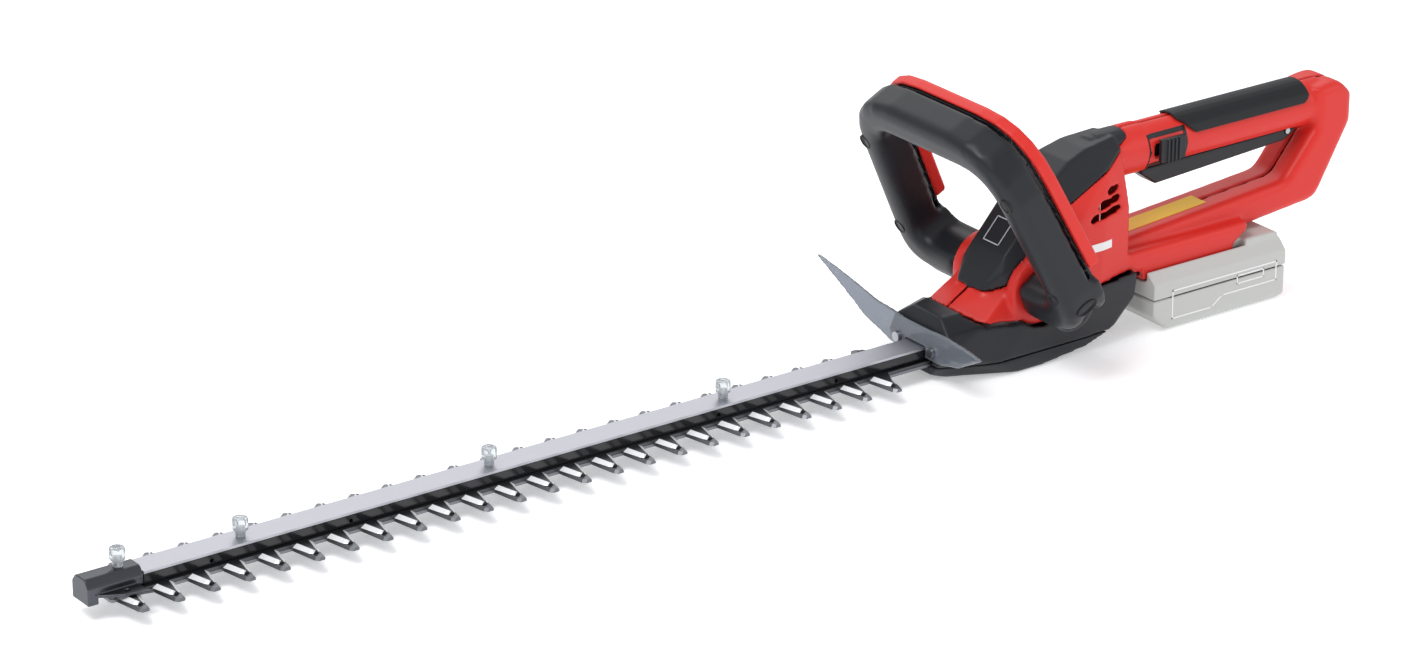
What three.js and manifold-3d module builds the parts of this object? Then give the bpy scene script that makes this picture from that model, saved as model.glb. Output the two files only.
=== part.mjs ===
// Cordless hedge trimmer: double-acting blades on a bar, crank gear, upright motor, closed rear
// handle with trigger, D-shaped front handle with a switch bar, clear hand shield, slide-on battery.
// Units are millimetres. +X points to the blade tip, +Y to the tool's left, +Z up.
// The origin is on the flat underside of the gearcase, below the crank axis.
import * as THREE from 'three';
import { ConvexGeometry } from 'three/addons/geometries/ConvexGeometry.js';
import { mergeVertices } from 'three/addons/utils/BufferGeometryUtils.js';
import Module from 'manifold-3d';

const wasm = await Module();
wasm.setup();

// ---------------------------------------------------------------- driving dimensions
const GAP = 0.3; // clearance between pieces that touch
const WALL = 2.6; // wall of the moulded shells

// cutting bar
const TOOTH_PITCH = 24;
const TEETH = 24; // on each side of a blade
const LAST_TOOTH_X = 668.5; // left-hand tooth nearest the tip
const FAR_OFFSET = -15; // right-hand teeth are staggered
const BLADE_T = 2;
const LOWER_BLADE_Z = 10;
const SPINE_HALF = 12.5;
const LOWER_REACH = 34; // tooth tips from the centre line
const UPPER_REACH = 27.5;
const TOOTH_ROOT = 14.5;
const TOOTH_TIP = 7.6;
const BLADE_END_X = LAST_TOOTH_X + 11;
const RAIL_HALF = 9.4;
const RAIL_H = 6.2;
const RAIL_WALL = 1.8;
const RAIL_START_X = 47;
const STRIP_T = 1.6;
const GUARD_NOSE = 7; // front wall of the tip guard
const GUARD_TOP_Z = 26;
const STUD_R = 4.8;
const STUD_NECK_R = 3.1;
const STUD_NECK_H = 4;
const STUD_H = 12;
const BOLT_R = 2;
const BOLT_HEAD_R = 5;
const BOLT_HEAD_H = 3;

// drive
const STROKE_HALF = 6; // eccentric throw
const CAM_R = 9;
const YOKE_CLEAR = 1.6; // each side along the bar, for the even-rate coupling
const YOKE_WALL = 5;
const AXLE_R = 4;
const GEAR_MODULE = 1.1;
const GEAR_TEETH = 50;
const PINION_TEETH = 10;
const GEAR_T = 5.8;
const MOTOR_R = 20;
const MOTOR_H = 58;
const MOTOR_CLEAR = 3; // to the switch in front and the board behind
const SHAFT_R = 2.2;
const BEARING_R = 11;
const BEARING_T = 5;
const PLATE_HALF = 22.5;

// gearcase and red body, all as points of their faceted outsides (x, half-width, z)
const CASE_SPLIT_Z = 10.6;
const CASE_FRONT_X = 75;
const CASE_HALF = 36;
const CASE_REAR_X = -80;
const BODY_HALF = 33;
const BODY_REAR_X = -76;
const NOSE_FRONT_X = 54;
const TOP_Z = 134.5;
const HOOD_REAR_X = -88;
const VENT_X = -36;
const VENT_Z = 87;
const VENT_REAR_X = -68;

// front handle, in its own plane: v is sideways, u along the tilted plane, n forward
const HANDLE_X = 0.5;
const HANDLE_Z = 51;
const HANDLE_TILT = 26.9; // degrees forward of upright
const HANDLE_TOP_U = 146.5;
const HANDLE_BAR = 25.5; // height of the top bar
const HANDLE_FOOT_U = -6.4;
const HANDLE_FOOT_H = 22;
const HANDLE_HALF_TOP = 75;
const HANDLE_HALF_FOOT = 92;
const HANDLE_LEG = 20.5;
const HANDLE_FRONT_N = 18.8;
const HANDLE_REAR_N = -13;
const HANDLE_ROUND = 8;
const BOSS_R = 23;
const BOSS_FACE_Y = 32;
const BOSS_ROOT_Y = 23.5;
const BOSS_BORE_R = 5;
const FOOT_DISC_R = 17.2;
const LEVER_REAR_N = -19.7;
const LEVER_DEPTH = 9;
const LEVER_WALL = 2;
const SKIRT_STEP = 5.5; // the rear shell's rim is this much inside its outline
const LEVER_GAP = 4.4; // free travel of the switch bar at its top
const LEVER_LOW_U = 33.6;

// shield
const SHIELD_T = 2.4;
const SHIELD_SWEEP = 17;
const SHIELD_SCREW_Y = 17.5;
const SHIELD_SCREW_Z = 22;

// rear handle
const TUBE_Z = 118.5;
const TUBE_R = 16.2;
const TUBE_END_X = -258;
const POST_REAR_X = -278;
const LOOP_HALF = 18.5;
const BEAM_BOTTOM_Z = 48.5;
const CHANNEL_ROOF_Z = 45.2;
const TRIGGER_FRONT_X = -102;
const TRIGGER_REAR_X = -236;
const TRIGGER_HALF = 8.5;
const TRIGGER_BOTTOM_Z = 91.5;
const TRIGGER_PIVOT_X = -229;
const TRIGGER_TOP_Z = 105;
const SPRING_R = 3.2;
const SPRING_TURNS = 4;
const GRIP_FRONT_X = -130;
const GRIP_REAR_X = -242;
const GRIP_T = 1.7;
const LOCK_FRONT_X = -109;
const LOCK_LENGTH = 21;
const LOCK_HEIGHT = 16;
const LOCK_TRAVEL = 5;

// battery and its rails
const BATTERY_FRONT_X = -91;
const BATTERY_REAR_X = -205;
const BATTERY_HALF = 38;
const BATTERY_SIDE_Z = 34;
const DECK_Z = 34.5;
const RAIL_BLOCK_HALF = 29;
const RAIL_BLOCK_REAR_X = -167;
const BLOCK_BOTTOM_Z = 42;
const SHOE_HALF = 24.5; // half-width of the battery's T head
const SHOE_NECK = 20;
const SHOULDER_HALF = 29.5; // the side shoulders rise outside the rails
const SHOULDER_Z = 41.5;
const LATCH_TRAVEL = 3;
const CELL_R = 9.1;
const CELL_LENGTH = 65;
const CELLS = 5;

// ---------------------------------------------------------------- colours
const finish = (color, roughness, metalness = 0) =>
  new THREE.MeshStandardMaterial({ color, roughness, metalness });
const RED = finish(0xd93a2e, 0.45);
const BLACK = finish(0x2d2f33, 0.55);
const RUBBER = finish(0x26272b, 0.8);
const STEEL = finish(0x8a8d92, 0.3, 1);
const DARK_STEEL = finish(0x45474b, 0.35, 1);
const RAIL_BLACK = finish(0x151618, 0.25);
const ALUMINIUM = finish(0xcdced3, 0.35, 1);
const SMOKE = finish(0x8f96a0, 0.2);
const CLEAR = finish(0xdfe5e8, 0.25);
const PALE_GREY = finish(0xbcbfbd, 0.5);
const COPPER = finish(0xa8693a, 0.4, 1);
const GREEN = finish(0x2d6a45, 0.6);
const CELL_BLUE = finish(0x3f6fa8, 0.5);

// ---------------------------------------------------------------- helpers
const vec = (x, y, z) => new THREE.Vector3(x, y, z);

function solid(geometry) {
  const plain = new THREE.BufferGeometry();
  plain.setAttribute('position', geometry.getAttribute('position').clone());
  if (geometry.index) plain.setIndex(geometry.index.clone());
  const merged = mergeVertices(plain, 1e-4);
  return new wasm.Manifold(
    new wasm.Mesh({
      numProp: 3,
      vertProperties: new Float32Array(merged.attributes.position.array),
      triVerts: new Uint32Array(merged.index.array),
    }),
  );
}

function geometryOf(manifold) {
  const mesh = manifold.getMesh();
  const geometry = new THREE.BufferGeometry();
  const positions = new Float32Array(mesh.vertProperties);
  geometry.setAttribute('position', new THREE.BufferAttribute(positions, 3));
  geometry.setIndex(new THREE.BufferAttribute(new Uint32Array(mesh.triVerts), 1));
  geometry.computeVertexNormals();
  return geometry;
}

const joined = (...parts) => parts.reduce((a, b) => a.add(b));
const cut = (base, ...tools) => tools.reduce((a, b) => a.subtract(b), base);

function box(x0, x1, y0, y1, z0, z1) {
  const shape = new THREE.BoxGeometry(x1 - x0, y1 - y0, z1 - z0);
  return solid(shape.translate((x0 + x1) / 2, (y0 + y1) / 2, (z0 + z1) / 2));
}

function cylinder(axis, radius, from, to, a, b, sides = 20) {
  const shape = new THREE.CylinderGeometry(radius, radius, to - from, sides);
  const middle = (from + to) / 2;
  if (axis === 'z') shape.rotateX(Math.PI / 2).translate(a, b, middle);
  if (axis === 'x') shape.rotateZ(-Math.PI / 2).translate(middle, a, b);
  if (axis === 'y') shape.translate(a, middle, b);
  return solid(shape);
}

// Closed outline through [x, y, cornerRadius] points; each corner is a short curve.
function outline(points) {
  const shape = new THREE.Shape();
  const count = points.length;
  points.forEach(([x, y, radius = 0], i) => {
    const corner = new THREE.Vector2(x, y);
    const before = new THREE.Vector2(...points[(i + count - 1) % count].slice(0, 2));
    const after = new THREE.Vector2(...points[(i + 1) % count].slice(0, 2));
    const incoming = before.sub(corner);
    const outgoing = after.sub(corner);
    const half = incoming.angleTo(outgoing) / 2;
    const room = Math.min(incoming.length(), outgoing.length()) * 0.499;
    const reach = Math.min(radius / Math.tan(half), room);
    const start = corner.clone().addScaledVector(incoming.normalize(), reach);
    const end = corner.clone().addScaledVector(outgoing.normalize(), reach);
    if (i === 0) shape.moveTo(start.x, start.y);
    else shape.lineTo(start.x, start.y);
    if (reach > 1e-6) shape.quadraticCurveTo(corner.x, corner.y, end.x, end.y);
  });
  shape.closePath();
  return shape;
}

// Prism of an outline from low to high along its normal, with rounded rims when bevel is set.
function prism(shape, low, high, { bevel = 0, steps = 2, curve = 4 } = {}) {
  const geometry = new THREE.ExtrudeGeometry(shape, {
    depth: high - low - 2 * bevel,
    bevelEnabled: bevel > 0,
    bevelThickness: bevel,
    bevelSize: bevel,
    bevelOffset: -bevel,
    bevelSegments: steps,
    curveSegments: curve,
  });
  return geometry.translate(0, 0, low + bevel);
}
const plateZ = (points, low, high, options) => solid(prism(outline(points), low, high, options));
// Outline drawn in x and z, prism along y.
const plateY = (points, low, high, options) =>
  solid(prism(outline(points), -high, -low, options).rotateX(Math.PI / 2));
// Outline drawn in y and z, prism along x.
function plateX(points, low, high, options) {
  const turn = new THREE.Matrix4().makeBasis(vec(0, 1, 0), vec(0, 0, 1), vec(1, 0, 0));
  return solid(prism(outline(points), low, high, options).applyMatrix4(turn));
}

// Convex faceted body from [x, half-width, z] points, mirrored across the middle plane.
const AXES = [vec(1, 0, 0), vec(0, 1, 0), vec(0, 0, 1), vec(-1, 0, 0), vec(0, -1, 0), vec(0, 0, -1)];
function facets(points, grow = 0) {
  const shifts = grow > 0 ? AXES : [vec(0, 0, 0)];
  const corners = [];
  points.forEach(([x, y, z]) => {
    shifts.forEach((shift) => {
      corners.push(vec(x, y, z).addScaledVector(shift, grow));
      corners.push(vec(x, -y, z).addScaledVector(shift, grow));
    });
  });
  return solid(new ConvexGeometry(corners));
}
// The inside of a convex body, one wall in from its surface.
const shrunk = (body, wall) =>
  AXES.map((axis) => body.translate(axis.toArray().map((value) => value * wall))).reduce((a, b) =>
    a.intersect(b),
  );

const model = new THREE.Group();
function place(name, manifoldOrGeometry, material, parent = model) {
  const isGeometry = manifoldOrGeometry.isBufferGeometry;
  const geometry = isGeometry ? manifoldOrGeometry : geometryOf(manifoldOrGeometry);
  const mesh = new THREE.Mesh(geometry, material);
  mesh.name = name;
  parent.add(mesh);
  return mesh;
}

// ---------------------------------------------------------------- shared levels and places
const lowerTopZ = LOWER_BLADE_Z + BLADE_T;
const upperBladeZ = lowerTopZ + GAP;
const upperTopZ = upperBladeZ + BLADE_T;
const railZ = upperTopZ + GAP;
const railTopZ = railZ + RAIL_H;
const stripZ = railTopZ + GAP;
const stripTopZ = stripZ + STRIP_T;
const boltXs = [LAST_TOOTH_X - 1.3, LAST_TOOTH_X - 84.8, LAST_TOOTH_X - 261.7, LAST_TOOTH_X - 438];
const yokeHalfX = CAM_R + YOKE_CLEAR;
const yokeHalfY = CAM_R + STROKE_HALF + 0.8;
const tailHalfX = yokeHalfX + YOKE_WALL;
const tailHalfY = yokeHalfY + YOKE_WALL;
const upperCamTopZ = upperTopZ + 1.7;
const gearZ = upperCamTopZ + GAP;
const gearTopZ = gearZ + GEAR_T;
const plateZ0 = gearTopZ + 2;
const motorX = (-GEAR_MODULE * (GEAR_TEETH + PINION_TEETH)) / 2;
const motorZ = plateZ0 + BEARING_T + GAP;
const shieldX = CASE_FRONT_X + GAP;
const shieldLegZ = railZ + 1;
const leverFrontN = LEVER_REAR_N + LEVER_DEPTH;
const springX = TRIGGER_FRONT_X - 12;
const springBottomZ = TRIGGER_TOP_Z - 3;
const springHeight = TUBE_Z + TUBE_R - WALL - springBottomZ - 1.2;
const guardRearX = BLADE_END_X - 24;
const guardFrontX = BLADE_END_X + STROKE_HALF + GAP + GUARD_NOSE;

// ---------------------------------------------------------------- blades
// Teeth of one side: each tapers from its root on the spine to a blunt rounded tip.
function toothPoints(xs, side, reach) {
  const points = [];
  xs.forEach((x) => {
    const root = TOOTH_ROOT / 2;
    const tip = TOOTH_TIP / 2;
    points.push([x - root, side * SPINE_HALF]);
    points.push([x - tip, side * (reach - 2.4)]);
    points.push([x - tip * 0.55, side * reach]);
    points.push([x + tip * 0.55, side * reach]);
    points.push([x + tip, side * (reach - 2.4)]);
    points.push([x + root, side * SPINE_HALF]);
  });
  return points;
}

function blade(z, reach) {
  const leftXs = Array.from({ length: TEETH }, (_, i) => LAST_TOOTH_X - TOOTH_PITCH * (TEETH - 1 - i));
  const rightXs = leftXs.map((x) => x + FAR_OFFSET);
  const points = [
    [-tailHalfX, tailHalfY, 4],
    [-tailHalfX, -tailHalfY, 4],
    [tailHalfX, -tailHalfY, 4],
    [tailHalfX + 8, -SPINE_HALF],
    ...toothPoints(rightXs, -1, reach),
    [BLADE_END_X, -SPINE_HALF, 4],
    [BLADE_END_X, SPINE_HALF, 4],
    ...toothPoints(leftXs, 1, reach).reverse(),
    [tailHalfX + 8, SPINE_HALF],
    [tailHalfX, tailHalfY, 4],
  ];
  let body = plateZ(points, z, z + BLADE_T, { curve: 2 });
  const window = box(-yokeHalfX, yokeHalfX, -yokeHalfY, yokeHalfY, z - 1, z + BLADE_T + 1);
  body = body.subtract(window);
  const slotHalf = BOLT_R + 0.4;
  boltXs.forEach((x) => {
    const end = STROKE_HALF + BOLT_R + GAP;
    const slot = [
      [x - end, -slotHalf, slotHalf],
      [x + end, -slotHalf, slotHalf],
      [x + end, slotHalf, slotHalf],
      [x - end, slotHalf, slotHalf],
    ];
    body = body.subtract(plateZ(slot, z - 1, z + BLADE_T + 1, { curve: 3 }));
  });
  return body;
}
place('lower_blade', blade(LOWER_BLADE_Z, LOWER_REACH), DARK_STEEL);
place('upper_blade', blade(upperBladeZ, UPPER_REACH), STEEL);

// ---------------------------------------------------------------- rail, strip, tip guard
const tongueHalf = RAIL_HALF - RAIL_WALL - 2 * GAP;
const tongueX = BLADE_END_X + STROKE_HALF - 1;
function rail() {
  const channel = box(RAIL_START_X, guardRearX - GAP, -RAIL_HALF, RAIL_HALF, railZ, railTopZ);
  const hollow = box(
    RAIL_START_X + 20, guardRearX + 1,
    -(RAIL_HALF - RAIL_WALL), RAIL_HALF - RAIL_WALL,
    railZ - 1, railTopZ - RAIL_WALL,
  );
  const tongue = box(guardRearX - 12, tongueX, -tongueHalf, tongueHalf, railZ, railTopZ - GAP);
  let body = channel.subtract(hollow).add(tongue);
  boltXs.forEach((x) => {
    body = body.subtract(cylinder('z', BOLT_R + GAP, railZ - 1, railTopZ + 1, x, 0, 12));
  });
  // weep holes low in both side walls
  [-59, -156, -428, -520].forEach((offset) => {
    const x = LAST_TOOTH_X + offset;
    body = body.subtract(cylinder('y', 1.4, -RAIL_HALF - 1, RAIL_HALF + 1, x, railZ + 2.6, 8));
  });
  return body;
}
place('blade_rail', rail(), RAIL_BLACK);

function strip() {
  let body = box(RAIL_START_X + 22, guardRearX - GAP, -RAIL_HALF, RAIL_HALF, stripZ, stripTopZ);
  boltXs.slice(1).forEach((x) => {
    body = body.subtract(cylinder('z', BOLT_R + GAP, stripZ - 1, stripTopZ + 1, x, 0, 12));
  });
  return body;
}
place('cover_strip', strip(), ALUMINIUM);

const guardInnerZ = railTopZ + GAP;
function tipGuard() {
  const half = RAIL_HALF;
  const crown = [
    [-half, railZ],
    [half, railZ],
    [half, GUARD_TOP_Z - 5, 3],
    [half - 4, GUARD_TOP_Z, 4],
    [-half + 4, GUARD_TOP_Z, 4],
    [-half, GUARD_TOP_Z - 5, 3],
  ];
  const hood = plateX(crown, guardRearX, guardFrontX, { curve: 3 });
  const nose = box(
    BLADE_END_X + STROKE_HALF + GAP, guardFrontX, -half, half, LOWER_BLADE_Z, railZ + 2,
  );
  const wing = [
    [guardFrontX - 4, -half],
    [guardFrontX - 4, half],
    [guardFrontX - 20, half + 9, 3],
    [guardRearX + 1, 23],
    [guardRearX + 4, half],
    [guardRearX + 4, -half],
    [guardRearX + 1, -23],
    [guardFrontX - 20, -half - 9, 3],
  ];
  let body = joined(hood, nose, plateZ(wing, railZ, railZ + 1.8));
  const hollow = box(
    guardRearX - 1, BLADE_END_X + STROKE_HALF - 0.5, -tongueHalf - GAP, tongueHalf + GAP,
    railZ - 1, guardInnerZ - GAP,
  );
  body = body.subtract(hollow);
  body = body.subtract(cylinder('z', BOLT_R + GAP, railZ, GUARD_TOP_Z + 1, boltXs[0], 0, 12));
  [1, -1].forEach((side) => {
    const hole = cylinder('z', 1.6, railZ - 1, railZ + 3, boltXs[0] + 2, side * 13.5, 10);
    body = body.subtract(hole);
  });
  return body;
}
place('tip_guard', tipGuard(), DARK_STEEL);

// Clear studs stand on the strip and screw onto the bolts that hold the blades.
boltXs.forEach((x, i) => {
  const seat = (i === 0 ? GUARD_TOP_Z : stripTopZ) + GAP;
  const bore = BOLT_R + GAP;
  const depth = STUD_NECK_H + 3;
  const profile = [
    [bore, 0],
    [STUD_NECK_R, 0],
    [STUD_NECK_R, STUD_NECK_H],
    [STUD_R, STUD_NECK_H],
    [STUD_R, STUD_H - 1.4],
    [STUD_R - 1.4, STUD_H],
    [0, STUD_H],
    [0, depth],
    [bore, depth],
    [bore, 0],
  ].map(([r, z]) => new THREE.Vector2(r, z));
  const lathe = new THREE.LatheGeometry(profile, 14).rotateX(Math.PI / 2);
  const stud = place('stud_' + (i + 1), geometryOf(solid(lathe)), CLEAR);
  stud.position.set(x, 0, seat);

  const bottom = LOWER_BLADE_Z - GAP;
  const shank = cylinder('z', BOLT_R, bottom - 1, seat + depth - GAP, 0, 0, 10);
  const head = cylinder('z', BOLT_HEAD_R, bottom - BOLT_HEAD_H, bottom, 0, 0, 12);
  const bolt = place('blade_bolt_' + (i + 1), joined(shank, head), STEEL);
  bolt.position.x = x;
});

// ---------------------------------------------------------------- drive train
// Straight-flanked thin teeth, so that the pair turns freely with backlash.
function spurGear(teeth, z0, z1, phase) {
  const pitchR = (GEAR_MODULE * teeth) / 2;
  const tipR = pitchR + 0.75 * GEAR_MODULE;
  const rootR = pitchR - 1.1 * GEAR_MODULE;
  const shape = new THREE.Shape();
  const step = (2 * Math.PI) / teeth;
  const rootHalf = (1.75 * GEAR_MODULE) / 2 / rootR;
  const tipHalf = (0.55 * GEAR_MODULE) / 2 / tipR;
  for (let i = 0; i < teeth; i += 1) {
    const middle = phase + i * step;
    const flank = [
      [rootR, middle - rootHalf],
      [tipR, middle - tipHalf],
      [tipR, middle + tipHalf],
      [rootR, middle + rootHalf],
    ];
    flank.forEach(([r, angle], k) => {
      const x = r * Math.cos(angle);
      const y = r * Math.sin(angle);
      if (i === 0 && k === 0) shape.moveTo(x, y);
      else shape.lineTo(x, y);
    });
  }
  shape.closePath();
  return solid(prism(shape, z0, z1));
}

function crankGear() {
  let body = spurGear(GEAR_TEETH, gearZ, gearTopZ, Math.PI);
  const rim = (GEAR_MODULE * GEAR_TEETH) / 2 - 5;
  for (let i = 0; i < 5; i += 1) {
    const angle = (i * 2 * Math.PI) / 5;
    const reach = (rim + AXLE_R + 4) / 2;
    const x = reach * Math.cos(angle);
    const y = reach * Math.sin(angle);
    body = body.subtract(cylinder('z', 4.2, gearZ + 2, gearTopZ + 1, x, y, 10));
  }
  return body.subtract(cylinder('z', AXLE_R + GAP, gearZ - 1, gearTopZ + 1, 0, 0, 16));
}
place('crank_gear', crankGear(), STEEL);

function cam(z0, z1, side) {
  const disc = cylinder('z', CAM_R, z0, z1, 0, side * STROKE_HALF, 28);
  return disc.subtract(cylinder('z', AXLE_R + GAP, z0 - 1, z1 + 1, 0, 0, 16));
}
place('upper_cam', cam(upperBladeZ + 0.05, upperCamTopZ, 1), STEEL);
place('lower_cam', cam(LOWER_BLADE_Z, lowerTopZ - 0.05, -1), STEEL);

const axleBottomZ = 3.2;
const lowerBearingZ = axleBottomZ + 0.4;
const axleTopZ = plateZ0 + BEARING_T + 1;
place('gear_axle', cylinder('z', AXLE_R, axleBottomZ, axleTopZ, 0, 0, 16), STEEL);

function ring(outer, inner, z0, z1, x) {
  const disc = cylinder('z', outer, z0, z1, x, 0, 20);
  return disc.subtract(cylinder('z', inner, z0 - 1, z1 + 1, x, 0, 16));
}
place('lower_bearing', ring(BEARING_R, AXLE_R + GAP, lowerBearingZ, lowerBearingZ + BEARING_T, 0), STEEL);
place('upper_bearing', ring(BEARING_R, AXLE_R + GAP, plateZ0, plateZ0 + BEARING_T, 0), STEEL);

function gearboxPlate() {
  const points = [
    [motorX - MOTOR_R - 3, PLATE_HALF, 8],
    [motorX - MOTOR_R - 3, -PLATE_HALF, 8],
    [30, -PLATE_HALF, 6],
    [40, -14, 6],
    [40, 14, 6],
    [30, PLATE_HALF, 6],
  ];
  let body = plateZ(points, plateZ0, plateZ0 + BEARING_T);
  body = body.subtract(cylinder('z', BEARING_R + GAP, plateZ0 - 1, plateZ0 + BEARING_T + 1, 0, 0, 20));
  return body.subtract(cylinder('z', 8, plateZ0 - 1, plateZ0 + BEARING_T + 1, motorX, 0, 16));
}
place('gearbox_plate', gearboxPlate(), ALUMINIUM);

function motorCan() {
  const shell = cylinder('z', MOTOR_R, motorZ, motorZ + MOTOR_H, motorX, 0, 24);
  const hollow = cylinder('z', MOTOR_R - 2, motorZ + 3, motorZ + MOTOR_H + 1, motorX, 0, 24);
  return shell.subtract(hollow).subtract(cylinder('z', 6, motorZ - 1, motorZ + 5, motorX, 0, 14));
}
place('motor_can', motorCan(), STEEL);

function motorEndCap() {
  const z0 = motorZ + MOTOR_H + GAP;
  const disc = cylinder('z', MOTOR_R, z0, z0 + 4, motorX, 0, 24);
  return disc.subtract(cylinder('z', SHAFT_R + GAP, z0 - 1, z0 + 5, motorX, 0, 14));
}
place('motor_end_cap', motorEndCap(), BLACK);

const rotorZ = motorZ + 8;
function rotor() {
  const shaft = cylinder('z', SHAFT_R, gearZ - 1, motorZ + MOTOR_H + 16, motorX, 0, 12);
  const core = cylinder('z', MOTOR_R - 6, rotorZ, rotorZ + MOTOR_H - 22, motorX, 0, 18);
  const commutator = cylinder('z', 6, rotorZ + MOTOR_H - 22.5, rotorZ + MOTOR_H - 12, motorX, 0, 14);
  return joined(shaft, core, commutator);
}
place('motor_rotor', rotor(), COPPER);

function pinion() {
  const body = spurGear(PINION_TEETH, gearZ, gearTopZ + 1.5, Math.PI / PINION_TEETH);
  const bored = body.subtract(cylinder('z', SHAFT_R + GAP, gearZ - 1, gearTopZ + 3, 0, 0, 12));
  return bored;
}
place('motor_pinion', pinion(), STEEL).position.x = motorX;

function fan() {
  const z0 = motorZ + MOTOR_H + 4 + 3 * GAP;
  let body = cylinder('z', 17, z0, z0 + 1.6, 0, 0, 20).add(cylinder('z', 5, z0, z0 + 8, 0, 0, 14));
  for (let i = 0; i < 9; i += 1) {
    const vane = solid(new THREE.BoxGeometry(11, 1.4, 7.4).translate(10.8, 0, z0 + 4.2));
    body = body.add(vane.rotate([0, 0, (i * 360) / 9]));
  }
  return body.subtract(cylinder('z', SHAFT_R + GAP, z0 - 1, z0 + 9, 0, 0, 12));
}
place('motor_fan', fan(), BLACK).position.x = motorX;

// ---------------------------------------------------------------- gearcase
const seamPoints = [
  [CASE_FRONT_X + 10, 60],
  [NOSE_FRONT_X + GAP, 60],
  [NOSE_FRONT_X + GAP, 42],
  [NOSE_FRONT_X - 9.4, 36.6],
  [4, 32.6],
  [-48, 44],
  [CASE_REAR_X - 2, 46],
];
// Everything below the seam between the black gearcase and the red body.
function belowSeam(shift) {
  const points = seamPoints.map(([x, z]) => [x, z + shift]);
  return plateY([...points, [CASE_REAR_X - 2, -20], [CASE_FRONT_X + 10, -20]], -60, 60);
}
const casePoints = [
  [CASE_FRONT_X, 13, 4],
  [CASE_FRONT_X, 30, 22],
  [CASE_FRONT_X - 2, 27, 34],
  [CASE_FRONT_X - 6, 14, 43],
  [64, 13, 0],
  [19, CASE_HALF - 1.5, 0],
  [-2, CASE_HALF - 1.5, 0],
  [34, CASE_HALF, 11],
  [42, CASE_HALF - 4, 38],
  [-37, CASE_HALF - 2, 3.8],
  [-54, CASE_HALF - 2, 9.3],
  [-62, CASE_HALF - 2, 13.4],
  [CASE_REAR_X + 3, CASE_HALF - 2, 29],
  [CASE_REAR_X, CASE_HALF - 3, 37],
  [CASE_REAR_X, CASE_HALF - 3, 50],
  [-25, CASE_HALF, 12],
  [-37, CASE_HALF, 22],
  [4, CASE_HALF, 42],
  [-48, CASE_HALF, 50],
];
const caseOuter = facets(casePoints);
const caseInner = shrunk(caseOuter, WALL);
const bladeSlot = box(
  tailHalfX, CASE_FRONT_X + 5, -SPINE_HALF - 1, SPINE_HALF + 1, LOWER_BLADE_Z - 0.4, railZ + 0.1,
);
const tailSpace = box(
  -tailHalfX - STROKE_HALF - 1, tailHalfX + STROKE_HALF + 10, -tailHalfY - 1, tailHalfY + 1,
  LOWER_BLADE_Z - 0.4, railZ,
);
const railSpace = box(
  RAIL_START_X - GAP, CASE_FRONT_X + 5, -RAIL_HALF - GAP, RAIL_HALF + GAP, railZ - 1, stripTopZ + GAP,
);

// Cylinders about the handle's side axis, one on each side of the body.
const sidePair = (radius, from, to) =>
  joined(
    cylinder('y', radius, from, to, HANDLE_X, HANDLE_Z, 32),
    cylinder('y', radius, -to, -from, HANDLE_X, HANDLE_Z, 32),
  );
const shieldScrewBores = joined(
  ...[1, -1].map((side) =>
    cylinder('x', 2.1, CASE_FRONT_X - 9, CASE_FRONT_X + 9, side * SHIELD_SCREW_Y, SHIELD_SCREW_Z, 12),
  ),
);
function gearHousing() {
  const above = box(-90, CASE_FRONT_X + 10, -60, 60, CASE_SPLIT_Z + GAP / 2, 90);
  const bosses = [1, -1].map((side) =>
    cylinder('x', 5, CASE_FRONT_X - 12, CASE_FRONT_X - 1, side * SHIELD_SCREW_Y, SHIELD_SCREW_Z, 14),
  );
  const walls = joined(caseOuter.subtract(caseInner), ...bosses);
  const shell = walls.intersect(belowSeam(-GAP / 2)).intersect(above);
  return cut(shell, bladeSlot, railSpace, sidePair(BOSS_R + GAP, BOSS_ROOT_Y - GAP, 70), shieldScrewBores);
}
place('gear_housing', gearHousing(), BLACK);

function bottomCover() {
  const below = box(-90, CASE_FRONT_X + 10, -60, 60, -1, CASE_SPLIT_Z - GAP / 2);
  const floor = caseOuter.intersect(below);
  const pocket = shrunk(caseOuter, WALL + 0.2).intersect(box(-90, 90, -60, 60, WALL, 20));
  const seat = cylinder('z', BEARING_R + 3, 0.5, lowerBearingZ + BEARING_T, 0, 0, 20);
  const seatBore = cylinder('z', BEARING_R + GAP, axleBottomZ - GAP, 20, 0, 0, 20);
  return cut(floor.subtract(pocket).add(seat), seatBore, bladeSlot, tailSpace);
}
place('bottom_cover', bottomCover(), BLACK);

// ---------------------------------------------------------------- red body and its black hood
const nosePoints = [
  [NOSE_FRONT_X, 0, 42],
  [NOSE_FRONT_X - 9.4, 29, 36.6],
  [NOSE_FRONT_X - 16, 0, 51.5],
  [23, 24, 53],
  [4, 35, 33],
  [-20, 34, 34],
  [-20, 20, 80],
];
const motorPoints = [
  [4, 35, 34],
  [35, 12, 52.6],
  [23, 20, 53],
  [23.5, 20, 63.8],
  [18.7, 16.5, 75],
  [-48, 34, 44],
  [BODY_REAR_X, BODY_HALF - 4, 44],
  [0, 30, 76],
  [-34, BODY_HALF, 94],
  [-52, BODY_HALF, 92],
  [BODY_REAR_X, BODY_HALF - 5, 92],
  [-20, 17, 118],
  [-34, 15, 127],
  [-50, 13, TOP_Z - 2.5],
  [BODY_REAR_X, 10, TOP_Z],
  [-58, 26, 118],
  [BODY_REAR_X, 18, 128],
  [BODY_REAR_X, 21, 112],
];
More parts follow.
